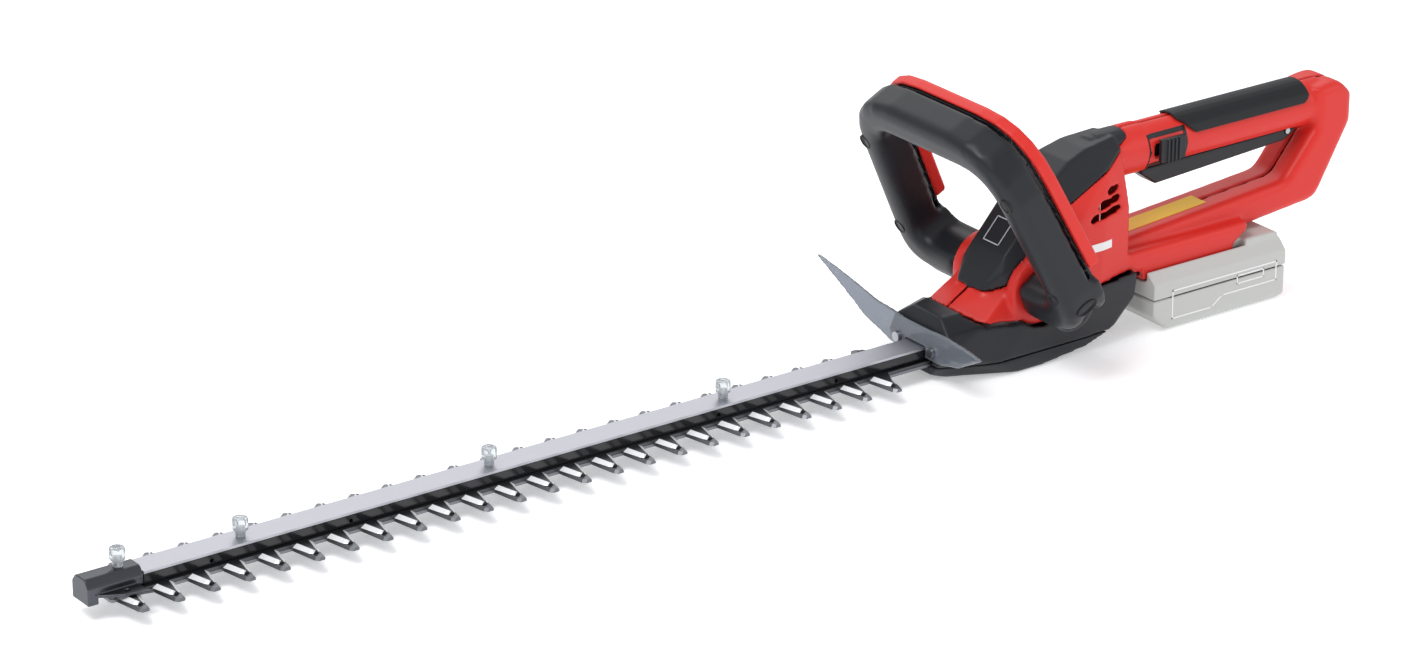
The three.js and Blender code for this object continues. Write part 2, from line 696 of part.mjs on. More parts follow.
const beamPoints = [
  [BODY_REAR_X + 12, 61],
  [BODY_REAR_X - 4, 62],
  [-165, 68.5],
  [-221, 73, 12],
  [-247, 104],
  [-247, 132],
  [-268, 134.5, 14],
  [POST_REAR_X, 124],
  [POST_REAR_X, 104, 14],
  [-249, 54, 14],
  [-190, BEAM_BOTTOM_Z],
  [BODY_REAR_X + 12, BEAM_BOTTOM_Z],
];
function insetProfile(points, amount) {
  // move every corner along the bisector of its two sides, towards the inside
  return points.map(([x, y, radius = 0], i) => {
    const corner = new THREE.Vector2(x, y);
    const before = new THREE.Vector2(...points[(i + points.length - 1) % points.length].slice(0, 2));
    const after = new THREE.Vector2(...points[(i + 1) % points.length].slice(0, 2));
    const first = corner.clone().sub(before).normalize();
    const second = after.clone().sub(corner).normalize();
    const normalA = new THREE.Vector2(first.y, -first.x);
    const normalB = new THREE.Vector2(second.y, -second.x);
    const bisector = normalA.clone().add(normalB).normalize();
    const reach = amount / Math.max(bisector.dot(normalA), 0.3);
    return [x + bisector.x * reach, y + bisector.y * reach, Math.max(radius - amount, 0)];
  });
}

const railBlockPoints = [
  [BODY_REAR_X + 8, BLOCK_BOTTOM_Z],
  [RAIL_BLOCK_REAR_X, BLOCK_BOTTOM_Z],
  [RAIL_BLOCK_REAR_X - 13, 51],
  [RAIL_BLOCK_REAR_X - 13, 57],
  [BODY_REAR_X + 8, 57],
];

// Half-section of the battery channel: side walls reach down beside the battery deck, with lips
// that turn in under its T head.
const channelRoofZ = CHANNEL_ROOF_Z;
const lipTopZ = DECK_Z + 3.6;
const lipBottomZ = DECK_Z + 1.2;
function batteryRails() {
  const x0 = RAIL_BLOCK_REAR_X;
  const x1 = BATTERY_FRONT_X + 2;
  const walls = [];
  [1, -1].forEach((side) => {
    const outer = [
      [side * (SHOE_HALF + GAP + 3.6), channelRoofZ + 3],
      [side * (SHOE_HALF + GAP + 3.6), lipBottomZ],
      [side * (SHOE_NECK + GAP), lipBottomZ],
      [side * (SHOE_NECK + GAP), lipTopZ],
      [side * (SHOE_HALF + GAP), lipTopZ],
      [side * (SHOE_HALF + GAP), channelRoofZ + 3],
    ];
    walls.push(plateX(side > 0 ? outer.reverse() : outer, x0, x1));
  });
  return walls;
}

const handTube = cylinder('x', TUBE_R, TUBE_END_X, BODY_REAR_X + 16, 0, TUBE_Z, 24);
const collar = cylinder('x', TUBE_R + 0.9, -103, BODY_REAR_X + 10, 0, TUBE_Z, 24);
const tubeBore = cylinder('x', TUBE_R - WALL, TUBE_END_X - 8, BODY_REAR_X + 20, 0, TUBE_Z, 20);

function bodyOuter() {
  const loop = plateY(beamPoints, -LOOP_HALF, LOOP_HALF, { bevel: 5, steps: 2, curve: 3 });
  const block = plateY(railBlockPoints, -RAIL_BLOCK_HALF, RAIL_BLOCK_HALF, { bevel: 2.5, steps: 1 });
  const bosses = [1, -1].map((side) => {
    const ends = [side * BOSS_ROOT_Y, side * BOSS_FACE_Y].sort((a, b) => a - b);
    return cylinder('y', BOSS_R, ends[0], ends[1], HANDLE_X, HANDLE_Z, 32);
  });
  const shapes = [facets(nosePoints), facets(motorPoints), loop, block, handTube, collar, ...bosses];
  return joined(...shapes, ...batteryRails());
}

function bodyInner() {
  const loopHalf = LOOP_HALF - WALL;
  const loop = plateY(insetProfile(beamPoints, -WALL), -loopHalf, loopHalf, { curve: 2 });
  const door = box(BODY_REAR_X - 8, BODY_REAR_X + 14, -12, 12, BEAM_BOTTOM_Z + WALL, 60);
  const nose = shrunk(facets(nosePoints), WALL);
  const motor = shrunk(facets(motorPoints), WALL);
  const openFloor = box(BODY_REAR_X + 8, 26, -PLATE_HALF - GAP, PLATE_HALF + GAP, 20, 48);
  return joined(nose, motor, loop, door, tubeBore, openFloor);
}

const hoodLine = [
  [70, 52.2],
  [30, 52.2],
  [18, 57],
  [8, 74],
  [-6, 88],
  [-25, 101.5],
  [-44, 111],
  [-66, 121.5],
  [-76, 127],
  [HOOD_REAR_X, 132],
  [HOOD_REAR_X, 160],
  [70, 160],
];
const hoodRegion = (shift) =>
  plateY(hoodLine.map(([x, z]) => [x, z + shift]).reverse(), -60, 60);
const footRoom = sidePair(BOSS_R + GAP, BOSS_FACE_Y, 70);

const triggerSlot = box(
  TRIGGER_REAR_X - 1, TRIGGER_FRONT_X + 1, -TRIGGER_HALF - 0.6, TRIGGER_HALF + 0.6, 90, TUBE_Z - 8,
);
const lockWindow = box(
  LOCK_FRONT_X - LOCK_LENGTH + 3, LOCK_FRONT_X + LOCK_TRAVEL - 3, 8, 30, TUBE_Z - 4, TUBE_Z + 4,
);

const fullOuter = bodyOuter();
const fullInner = bodyInner();
const fullShell = fullOuter.subtract(fullInner);
const bossEnds = sidePair(BOSS_R, BOSS_ROOT_Y, BOSS_FACE_Y);
const caseRoom = facets(casePoints, GAP).intersect(belowSeam(GAP / 2)).subtract(bossEnds);
const bossBores = cylinder('y', BOSS_BORE_R, -BOSS_FACE_Y - 1, BOSS_FACE_Y + 1, HANDLE_X, HANDLE_Z, 16);
const shoeRoom = box(
  BATTERY_REAR_X - 90, BATTERY_FRONT_X + 1.5, -SHOE_HALF - GAP, SHOE_HALF + GAP, lipTopZ, channelRoofZ,
);

function housing(side) {
  const keep = side > 0 ? box(-400, 200, GAP / 2, 90, -20, 200) : box(-400, 200, -90, -GAP / 2, -20, 200);
  const vents = [0, 1, 2].map((i) => {
    const front = VENT_X - i * 8.2;
    const z = VENT_Z + i * 7.4;
    const points = [
      [front, z],
      [front - 6.5, z + 5.4],
      [VENT_REAR_X, z + 8 - i],
      [VENT_REAR_X, z + 4.6 - i],
    ];
    return side > 0 ? plateY(points, 22, 40) : plateY(points, -40, -22);
  });
  // the motor, its end cap and a clearance all round
  const motorRoom = cylinder('z', MOTOR_R + GAP, motorZ - GAP, motorZ + MOTOR_H + 4 + 2 * GAP, motorX, 0, 24);
  const tools = [
    hoodRegion(-GAP).subtract(bossEnds),
    caseRoom,
    footRoom,
    bossBores,
    triggerSlot,
    lockWindow,
    shoeRoom,
    motorRoom,
    ...vents,
  ];
  return cut(fullShell, ...tools).intersect(keep);
}
place('housing_left', housing(1), RED);
place('housing_right', housing(-1), RED);

const bossRoom = sidePair(BOSS_R + GAP, BOSS_ROOT_Y, 70);
place('top_hood', cut(fullShell.intersect(hoodRegion(0)), bossRoom, caseRoom), BLACK);

// ---------------------------------------------------------------- front handle
const frontHandle = new THREE.Group();
const tilt = THREE.MathUtils.degToRad(HANDLE_TILT);
const alongU = vec(Math.sin(tilt), 0, Math.cos(tilt));
const alongN = vec(Math.cos(tilt), 0, -Math.sin(tilt));
frontHandle.setRotationFromMatrix(new THREE.Matrix4().makeBasis(vec(0, 1, 0), alongU, alongN));
frontHandle.position.set(HANDLE_X, 0, HANDLE_Z);
model.add(frontHandle);

// Inverted U with feet that turn in to the bosses; inset moves every side inwards.
function handleOutline(inset) {
  const outerTop = HANDLE_TOP_U - inset;
  const outerFoot = HANDLE_FOOT_U + inset;
  const innerTop = HANDLE_TOP_U - HANDLE_BAR + inset;
  const innerFoot = HANDLE_FOOT_U + HANDLE_FOOT_H - inset;
  const footEnd = BOSS_FACE_Y + GAP + inset;
  const outerV = [HANDLE_HALF_FOOT - inset, HANDLE_HALF_TOP - inset];
  const innerV = [HANDLE_HALF_FOOT - HANDLE_LEG - 2 + inset, HANDLE_HALF_TOP - HANDLE_LEG + 2 + inset];
  const right = [
    [footEnd, outerFoot],
    [outerV[0], outerFoot, 38 - inset],
    [outerV[1], outerTop, 50 - inset],
  ];
  const inner = [
    [innerV[1], innerTop, 24 + inset],
    [innerV[0], innerFoot, 20 + inset],
    [footEnd, innerFoot],
  ];
  const mirror = (points) => points.map(([v, u, r]) => [-v, u, r]).reverse();
  return [...right, ...mirror(right), ...mirror(inner), ...inner];
}
const handleSolid = (inset, low, high, options) => plateZ(handleOutline(inset), low, high, options);

function footDiscs(radius, from, to, sides = 24) {
  return joined(
    cylinder('x', radius, from, to, 0, 0, sides),
    cylinder('x', radius, -to, -from, 0, 0, sides),
  );
}
const footFrom = BOSS_FACE_Y + GAP;
const footTo = BOSS_FACE_Y + 34;
const halfSpace = (low, high) => box(-120, 120, -60, 200, low, high);
const stepN = leverFrontN + LEVER_GAP; // behind this the rear shell steps in under the switch bar
function handleBody() {
  const body = handleSolid(0, stepN, HANDLE_FRONT_N + 16, { bevel: 0 });
  const rounded = handleSolid(0, HANDLE_REAR_N - 20, HANDLE_FRONT_N, {
    bevel: HANDLE_ROUND, steps: 3, curve: 5,
  });
  const front = body.intersect(rounded);
  const rear = handleSolid(SKIRT_STEP, HANDLE_REAR_N, stepN + 1);
  const foot = rounded.intersect(box(-120, 120, -60, 24, HANDLE_REAR_N, stepN + 1));
  return joined(front, rear, foot, footDiscs(FOOT_DISC_R, footFrom, footTo));
}
const handleWhole = handleBody();
const handleHollow = handleSolid(WALL + 3, HANDLE_REAR_N + WALL, HANDLE_FRONT_N - WALL - 1);
const footBolts = footDiscs(BOSS_BORE_R + GAP, footFrom - 1, footTo + 40, 14);
const capRoom = footDiscs(BOSS_BORE_R + 2.4 + GAP, footTo + GAP, footTo + 40, 14);
const handleShell = cut(handleWhole, handleHollow, footBolts, capRoom);
place(
  'front_handle_front_shell',
  handleShell.intersect(halfSpace(GAP / 2, 60)),
  BLACK,
  frontHandle,
);
place(
  'front_handle_rear_shell',
  handleShell.intersect(halfSpace(-60, -GAP / 2)),
  BLACK,
  frontHandle,
);

// Red switch bar: a skirted inverted U behind the rear shell, hinged at its lower ends.
function leverOutline(inset) {
  const low = LEVER_LOW_U;
  const lean = (HANDLE_HALF_FOOT - HANDLE_HALF_TOP) / (HANDLE_TOP_U - HANDLE_FOOT_U);
  const sideAt = (u) => HANDLE_HALF_TOP + lean * (HANDLE_TOP_U - u) - inset;
  const innerTop = HANDLE_TOP_U - HANDLE_BAR + inset;
  const innerAt = (u) => sideAt(u) - HANDLE_LEG + 2 * inset + 2;
  const right = [
    [sideAt(low), low],
    [sideAt(HANDLE_TOP_U), HANDLE_TOP_U - 3 - inset, 48],
  ];
  const inside = [
    [innerAt(innerTop), innerTop, 24],
    [innerAt(low), low],
  ];
  const flip = (points) => points.map(([v, u, r]) => [-v, u, r]).reverse();
  return [...right, ...flip(right), ...flip(inside), ...inside];
}
function switchBar() {
  const blank = plateZ(leverOutline(0), LEVER_REAR_N, leverFrontN + 8, { bevel: 1.6, steps: 1, curve: 5 });
  const trimmed = blank.intersect(halfSpace(LEVER_REAR_N - 1, leverFrontN));
  const rimRoom = handleSolid(SKIRT_STEP - 2 * GAP, LEVER_REAR_N + LEVER_WALL, leverFrontN + 1);
  return trimmed.subtract(rimRoom);
}
place('front_switch_bar', switchBar(), RED, frontHandle);

[1, -1].forEach((side) => {
  const start = side * (BOSS_FACE_Y - 20);
  const end = side * (footTo + 2 * GAP);
  const ends = [start, end].sort((a, b) => a - b);
  const head = [end, end + side * 4].sort((a, b) => a - b);
  const shank = cylinder('y', BOSS_BORE_R - GAP, ends[0], ends[1], 0, 0, 14);
  const cap = cylinder('y', BOSS_BORE_R + 2.4, head[0], head[1], 0, 0, 14);
  const bolt = place('handle_bolt_' + (side > 0 ? 'left' : 'right'), shank.add(cap), STEEL);
  bolt.position.set(HANDLE_X, 0, HANDLE_Z);
});

// ---------------------------------------------------------------- shield
function shield() {
  const face = shieldX;
  const edge = [
    [-88, 62, 1],
    [-40, 40, 30],
    [-12, 36, 8],
    [12, 36, 8],
    [45, 38, 30],
    [87, 43, 1],
    [48, 22, 22],
    [RAIL_HALF + 16, shieldLegZ, 4],
    [RAIL_HALF + 1, shieldLegZ],
    [RAIL_HALF + 1, stripTopZ + 1],
    [-RAIL_HALF - 1, stripTopZ + 1],
    [-RAIL_HALF - 1, shieldLegZ],
    [-RAIL_HALF - 16, shieldLegZ, 4],
    [-48, 26, 22],
  ];
  const plate = prism(outline(edge.reverse()), face, face + SHIELD_T, { curve: 6 });
  const turn = new THREE.Matrix4().makeBasis(vec(0, 1, 0), vec(0, 0, 1), vec(1, 0, 0));
  plate.applyMatrix4(turn);
  let body = solid(plate).refineToLength(16).warp((point) => {
    const reach = Math.max(Math.abs(point[1]) - 26, 0) / 64;
    point[0] += SHIELD_SWEEP * Math.pow(reach, 1.4);
  });
  [1, -1].forEach((side) => {
    const hole = cylinder('x', 2.2, face - 1, face + 6, side * SHIELD_SCREW_Y, SHIELD_SCREW_Z, 10);
    body = body.subtract(hole);
  });
  return body;
}
place('blade_shield', shield(), SMOKE);
[1, -1].forEach((side) => {
  const face = shieldX + SHIELD_T;
  const shank = cylinder('x', 1.8, face - SHIELD_T - 6, face + 1, 0, 0, 10);
  const head = cylinder('x', 3.4, face + GAP, face + 2.6, 0, 0, 14);
  const screw = place('shield_screw_' + (side > 0 ? 'left' : 'right'), shank.add(head), STEEL);
  screw.position.set(0, side * SHIELD_SCREW_Y, SHIELD_SCREW_Z);
});

// ---------------------------------------------------------------- rear grip and controls
function grip() {
  const outer = cylinder('x', TUBE_R + GAP + GRIP_T, GRIP_REAR_X, GRIP_FRONT_X, 0, TUBE_Z, 28);
  const inner = cylinder('x', TUBE_R + GAP, GRIP_REAR_X - 1, GRIP_FRONT_X + 1, 0, TUBE_Z, 28);
  const slant = [
    [GRIP_FRONT_X + 1, TUBE_Z + TUBE_R - 1],
    [GRIP_FRONT_X - 1, TUBE_Z + 15],
    [GRIP_FRONT_X - 11, TUBE_Z + 6],
    [GRIP_REAR_X + 5, TUBE_Z + 6],
    [GRIP_REAR_X - 1, TUBE_Z + 11],
    [GRIP_REAR_X - 1, TUBE_Z + 40],
    [GRIP_FRONT_X + 1, TUBE_Z + 40],
  ];
  return outer.subtract(inner).intersect(plateY(slant.reverse(), -40, 40));
}
place('grip_overmold', grip(), RUBBER);

// Long trigger under the tube, hinged near its rear end.
function trigger() {
  const lever = [
    [TRIGGER_FRONT_X, TRIGGER_TOP_Z],
    [TRIGGER_FRONT_X, TRIGGER_TOP_Z - 4],
    [TRIGGER_FRONT_X - 13, TRIGGER_BOTTOM_Z, 2],
    [TRIGGER_PIVOT_X + 2, TRIGGER_BOTTOM_Z + 6, 3],
    [TRIGGER_REAR_X, TRIGGER_BOTTOM_Z + 11],
    [TRIGGER_REAR_X, TRIGGER_TOP_Z + 1],
  ];
  const body = plateY(lever.reverse(), -TRIGGER_HALF, TRIGGER_HALF, { bevel: 1.2, steps: 1, curve: 2 });
  const pinHole = cylinder('y', 2 + GAP, -20, 20, TRIGGER_PIVOT_X, TRIGGER_TOP_Z - 1, 12);
  const springSeat = cylinder('z', SPRING_R + 1.5, TRIGGER_TOP_Z - 4, 130, springX, 0, 14);
  return body.subtract(pinHole).subtract(springSeat);
}
place('trigger', trigger(), BLACK);
place(
  'trigger_pin',
  cylinder('y', 2, -TRIGGER_HALF - 0.5, TRIGGER_HALF + 0.5, TRIGGER_PIVOT_X, TRIGGER_TOP_Z - 1, 12),
  STEEL,
);

// Return spring between the trigger and a seat in the tube.
class Helix extends THREE.Curve {
  getPoint(t, target = new THREE.Vector3()) {
    const angle = t * SPRING_TURNS * 2 * Math.PI;
    return target.set(SPRING_R * Math.cos(angle), SPRING_R * Math.sin(angle), t * springHeight);
  }
}
function spring() {
  const wire = new THREE.Shape().absarc(0, 0, 0.6, 0, 2 * Math.PI, false);
  return new THREE.ExtrudeGeometry(wire, {
    steps: SPRING_TURNS * 10,
    curveSegments: 3,
    extrudePath: new Helix(),
  });
}
place('trigger_spring', geometryOf(solid(spring())), STEEL).position.set(springX, 0, springBottomZ);

function lockSlider() {
  const x0 = LOCK_FRONT_X - LOCK_LENGTH;
  const y0 = TUBE_R + 0.6;
  let body = box(x0, LOCK_FRONT_X, y0, y0 + 3, TUBE_Z - LOCK_HEIGHT / 2, TUBE_Z + LOCK_HEIGHT / 2);
  for (let i = 0; i < 4; i += 1) {
    const x = LOCK_FRONT_X - 4.5 - i * 3.2;
    body = body.add(box(x - 1.4, x, y0 + 2.5, y0 + 4.4, TUBE_Z - 8, TUBE_Z + 8));
  }
  const middle = (x0 + LOCK_FRONT_X) / 2;
  return body.add(box(middle - 4, middle + 4, 11.5, y0 + 1, TUBE_Z - 3.6, TUBE_Z + 3.6));
}
place('lock_off_slider', lockSlider(), BLACK);

// ---------------------------------------------------------------- electrics
place('rear_switch', box(-168, -138, -7, 7, TUBE_Z - 3, TUBE_Z + 10), BLACK);
const motorFront = motorX + MOTOR_R + MOTOR_CLEAR;
const motorRear = motorX - MOTOR_R - MOTOR_CLEAR;
place('controller_board', box(BODY_REAR_X + 4, motorRear, -24, -21.6, 60, 92), GREEN);
place('front_switch', box(motorFront, motorFront + 12, -9, 9, 70, 82), BLACK);
function terminalBlock() {
  const x0 = BATTERY_FRONT_X - 6;
  const body = box(x0, BATTERY_FRONT_X - 0.5, -18, 18, lipTopZ + 0.6, channelRoofZ - GAP);
  return body;
}
place('terminal_block', terminalBlock(), BLACK);

// ---------------------------------------------------------------- battery
const battery = new THREE.Group();
model.add(battery);
const lidZ = CELL_R * 2 + 5;
const batteryShape = [
  [BATTERY_HALF - 3, 0],
  [BATTERY_HALF, 3],
  [BATTERY_HALF, BATTERY_SIDE_Z],
  [SHOULDER_HALF + 1, SHOULDER_Z],
  [SHOULDER_HALF, SHOULDER_Z],
  [SHOULDER_HALF, DECK_Z],
];
function batteryBlock() {
  const right = batteryShape;
  const left = batteryShape.map(([y, z]) => [-y, z]).reverse();
  const block = plateX([...right, ...left], BATTERY_REAR_X, BATTERY_FRONT_X);
  // the front and rear lower corners are cut back
  const side = [
    [BATTERY_REAR_X - 1, 3],
    [BATTERY_REAR_X + 3, 0],
    [BATTERY_FRONT_X - 14, 0],
    [BATTERY_FRONT_X, 12],
    [BATTERY_FRONT_X, SHOULDER_Z + 1],
    [BATTERY_REAR_X, SHOULDER_Z + 1],
  ];
  const trimmed = block.intersect(plateY(side, -60, 60));
  const shoeX0 = RAIL_BLOCK_REAR_X - 18;
  const neck = box(shoeX0, BATTERY_FRONT_X - 8, -SHOE_NECK, SHOE_NECK, DECK_Z - 1, lipTopZ + 1);
  const head = box(
    shoeX0, BATTERY_FRONT_X - 8, -SHOE_HALF, SHOE_HALF, lipTopZ + GAP, channelRoofZ - GAP,
  );
  const rear = box(
    BATTERY_REAR_X + 1, RAIL_BLOCK_REAR_X - 10, -30, 30, DECK_Z - 1, channelRoofZ - GAP,
  );
  return joined(trimmed, neck, head, rear);
}
const latchRoom = box(BATTERY_REAR_X - 1, BATTERY_REAR_X + 9, -15, 15, DECK_Z - 6, DECK_Z + 6);
function batteryShell() {
  const hollow = box(
    BATTERY_REAR_X + WALL, BATTERY_FRONT_X - 14, -BATTERY_HALF + WALL, BATTERY_HALF - WALL,
    WALL, DECK_Z - WALL,
  );
  return batteryBlock().subtract(hollow).subtract(latchRoom);
}
const batterySolid = batteryShell();
const slab = (low, high) => box(-300, 0, -60, 60, low, high);
place('battery_base', batterySolid.intersect(slab(-1, lidZ - GAP / 2)), PALE_GREY, battery);
place('battery_lid', batterySolid.intersect(slab(lidZ + GAP / 2, 60)), PALE_GREY, battery);
for (let i = 0; i < CELLS; i += 1) {
  const x = BATTERY_REAR_X + WALL + CELL_R + 1.2 + i * (2 * CELL_R + 0.5);
  const cell = cylinder('y', CELL_R, -CELL_LENGTH / 2, CELL_LENGTH / 2, 0, 0, 16);
  const mesh = place('battery_cell_' + (i + 1), cell, CELL_BLUE, battery);
  mesh.position.set(x, 0, WALL + CELL_R + GAP);
}
function latch() {
  const x0 = BATTERY_REAR_X - LATCH_TRAVEL;
  return box(x0, BATTERY_REAR_X + 4, -14.4, 14.4, DECK_Z - 5.4, DECK_Z + 5.4);
}
place('battery_latch', latch(), BLACK, battery);

export default model;
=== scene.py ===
import math

import bmesh
import bpy
from mathutils import Matrix, Vector
from mathutils.bvhtree import BVHTree


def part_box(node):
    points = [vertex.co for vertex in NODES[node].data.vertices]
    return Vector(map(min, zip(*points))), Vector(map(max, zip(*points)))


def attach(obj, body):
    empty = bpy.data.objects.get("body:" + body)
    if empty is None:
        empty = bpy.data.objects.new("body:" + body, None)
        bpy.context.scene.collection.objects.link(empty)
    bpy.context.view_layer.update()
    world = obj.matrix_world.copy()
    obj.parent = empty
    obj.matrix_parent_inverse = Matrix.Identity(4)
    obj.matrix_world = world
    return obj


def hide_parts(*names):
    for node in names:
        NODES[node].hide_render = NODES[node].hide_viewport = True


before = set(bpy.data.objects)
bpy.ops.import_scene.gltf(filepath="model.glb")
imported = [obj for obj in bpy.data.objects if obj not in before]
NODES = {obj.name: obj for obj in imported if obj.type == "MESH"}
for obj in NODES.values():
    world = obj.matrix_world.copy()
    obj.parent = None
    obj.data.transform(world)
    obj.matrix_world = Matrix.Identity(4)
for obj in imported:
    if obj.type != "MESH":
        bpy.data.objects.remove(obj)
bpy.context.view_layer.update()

MM = 0.001
SCENE = bpy.context.scene


# ---------------------------------------------------------------- materials
GRAIN_DETAIL = 3.0
PLASTIC_GRAIN = 2600.0
PLASTIC_GRAIN_DEPTH = 0.00004
PLASTIC_CLOUDS = 28.0
STREAK_SCALE = 30.0
STREAK_STRETCH = (1.0, 40.0, 40.0)


def shader(name, color, rough, metal=0.0, **inputs):
    """A Principled material whose constant values sit on the shader's own sockets."""
    mat = bpy.data.materials.new(name)
    mat.use_nodes = True
    bsdf = mat.node_tree.nodes["Principled BSDF"]
    bsdf.inputs["Base Color"].default_value = (*color, 1.0)
    bsdf.inputs["Roughness"].default_value = rough
    bsdf.inputs["Metallic"].default_value = metal
    for key, value in inputs.items():
        bsdf.inputs[key.replace("_", " ")].default_value = value
    return mat


def add_grain(mat, scale, strength, distance):
    """Fine surface grain: noise in object space drives a bump."""
    tree = mat.node_tree
    bsdf = tree.nodes["Principled BSDF"]
    coords = tree.nodes.new("ShaderNodeTexCoord")
    noise = tree.nodes.new("ShaderNodeTexNoise")
    noise.inputs["Scale"].default_value = scale
    noise.inputs["Detail"].default_value = GRAIN_DETAIL
    bump = tree.nodes.new("ShaderNodeBump")
    bump.inputs["Strength"].default_value = strength
    bump.inputs["Distance"].default_value = distance
    tree.links.new(coords.outputs["Object"], noise.inputs["Vector"])
    tree.links.new(noise.outputs["Fac"], bump.inputs["Height"])
    tree.links.new(bump.outputs["Normal"], bsdf.inputs["Normal"])


def vary_roughness(mat, low, high, scale, stretch=(1, 1, 1)):
    """Roughness wanders between low and high; stretch makes brushed streaks."""
    tree = mat.node_tree
    bsdf = tree.nodes["Principled BSDF"]
    coords = tree.nodes.new("ShaderNodeTexCoord")
    mapping = tree.nodes.new("ShaderNodeMapping")
    mapping.inputs["Scale"].default_value = stretch
    noise = tree.nodes.new("ShaderNodeTexNoise")
    noise.inputs["Scale"].default_value = scale
    span = tree.nodes.new("ShaderNodeMapRange")
    span.inputs["To Min"].default_value = low
    span.inputs["To Max"].default_value = high
    tree.links.new(coords.outputs["Object"], mapping.inputs["Vector"])
    tree.links.new(mapping.outputs["Vector"], noise.inputs["Vector"])
    tree.links.new(noise.outputs["Fac"], span.inputs["Value"])
    tree.links.new(span.outputs["Result"], bsdf.inputs["Roughness"])


def plastic(name, color, low, high, grain, **inputs):
    mat = shader(name, color, high, **inputs)
    add_grain(mat, PLASTIC_GRAIN, grain, PLASTIC_GRAIN_DEPTH)
    vary_roughness(mat, low, high, PLASTIC_CLOUDS)
    return mat


def metal(name, color, low, high):
    mat = shader(name, color, high, 1.0)
    vary_roughness(mat, low, high, STREAK_SCALE, STREAK_STRETCH)
    return mat


RED = plastic(
    "red_plastic", (0.66, 0.025, 0.018), 0.36, 0.46, 0.15, Specular_IOR_Level=0.35
)
BLACK = plastic(
    "black_plastic", (0.014, 0.0155, 0.019), 0.34, 0.46, 0.3, Specular_IOR_Level=0.32
)
RUBBER = plastic(
    "grip_rubber", (0.009, 0.01, 0.012), 0.42, 0.56, 0.5, Specular_IOR_Level=0.3
)
GREY = plastic("pale_grey_plastic", (0.5, 0.51, 0.49), 0.38, 0.5, 0.2)
LABEL_WHITE = plastic("label_white", (0.8, 0.8, 0.8), 0.35, 0.45, 0.05)
LABEL_YELLOW = plastic(
    "label_yellow", (0.85, 0.5, 0.012), 0.35, 0.45, 0.05, Specular_IOR_Level=0.2
)
MARK_GREY = plastic("mark_grey", (0.55, 0.57, 0.62), 0.35, 0.45, 0.05)
# Near-black painted shade: stands for the shadow inside the screw wells, the slider recess
# and the leg opening.
PAINTED_SHADE = plastic("painted_recess_shade", (0.006, 0.006, 0.007), 0.6, 0.75, 0.1)
BOARD = plastic("board_green", (0.03, 0.14, 0.06), 0.3, 0.45, 0.1)
CELL = plastic("cell_sleeve", (0.05, 0.16, 0.38), 0.3, 0.4, 0.05)
RAIL = plastic("rail_black", (0.009, 0.009, 0.011), 0.12, 0.24, 0.04)
STEEL = metal("steel", (0.42, 0.43, 0.45), 0.25, 0.42)
GROUND = shader("ground_edge", (0.86, 0.86, 0.87), 0.5, 0.5)
vary_roughness(GROUND, 0.4, 0.55, STREAK_SCALE, STREAK_STRETCH)
DARK_STEEL = metal("dark_blade_steel", (0.2, 0.205, 0.22), 0.3, 0.45)
BRIGHT_STEEL = metal("bright_blade_steel", (0.085, 0.088, 0.095), 0.3, 0.45)
GUARD = metal("guard_metal", (0.085, 0.09, 0.1), 0.24, 0.36)
STRIP = metal("strip_aluminium", (0.5, 0.5, 0.54), 0.38, 0.5)
PLATE = metal("plate_aluminium", (0.6, 0.61, 0.63), 0.3, 0.5)
COPPER = metal("rotor_copper", (0.55, 0.24, 0.1), 0.3, 0.45)
SHIELD = shader("smoke_shield", (0.3, 0.33, 0.38), 0.14, Transmission_Weight=0.6, IOR=1.4)
add_grain(SHIELD, 60.0, 0.05, 0.0002)
STUD = shader("clear_stud", (0.82, 0.86, 0.88), 0.1, Transmission_Weight=0.75, IOR=1.4)
add_grain(STUD, 300.0, 0.05, 0.0001)

MATERIAL_OF = {
    "lower_blade": DARK_STEEL,
    "upper_blade": BRIGHT_STEEL,
    "blade_rail": RAIL,
    "cover_strip": STRIP,
    "tip_guard": GUARD,
    "gearbox_plate": PLATE,
    "motor_rotor": COPPER,
    "housing_left": RED,
    "housing_right": RED,
    "front_switch_bar": RED,
    "blade_shield": SHIELD,
    "grip_overmold": RUBBER,
    "controller_board": BOARD,
    "battery_base": GREY,
    "battery_lid": GREY,
}
STEEL_WORDS = (
    "bolt",
    "screw",
    "gear_axle",
    "crank_gear",
    "cam",
    "bearing",
    "pinion",
    "can",
    "pin",
    "spring",
)


def material_for(node_name):
    if node_name.startswith("stud"):
        return STUD
    if "cell" in node_name:
        return CELL
    if node_name in MATERIAL_OF:
        return MATERIAL_OF[node_name]
    if any(word in node_name for word in STEEL_WORDS):
        return STEEL
    return BLACK


for name, node in NODES.items():
    node.data.materials.clear()
    node.data.materials.append(material_for(name))


# ---------------------------------------------------------------- mesh helpers
SHARP_ANGLE = math.radians(35.0)
BEVEL_ANGLE = math.radians(30.0)
WELD = 1e-7
ON_AXIS = 1e-6


def new_piece(name, bm, mat, body):
    """A shaded object from a bmesh, riding on a CAD body."""
    bmesh.ops.remove_doubles(bm, verts=bm.verts, dist=WELD)
    bmesh.ops.recalc_face_normals(bm, faces=bm.faces)
    mesh = bpy.data.meshes.new(name)
    bm.to_mesh(mesh)
    bm.free()
    mesh.materials.append(mat)
    obj = bpy.data.objects.new(name, mesh)
    SCENE.collection.objects.link(obj)
    mesh.shade_smooth()
    mesh.set_sharp_from_angle(angle=SHARP_ANGLE)
    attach(obj, body)
    return obj


def bevel(obj, width):
    mod = obj.modifiers.new("edges", "BEVEL")
    mod.width = width * MM
    mod.segments = 2
    mod.limit_method = "ANGLE"
    mod.angle_limit = BEVEL_ANGLE


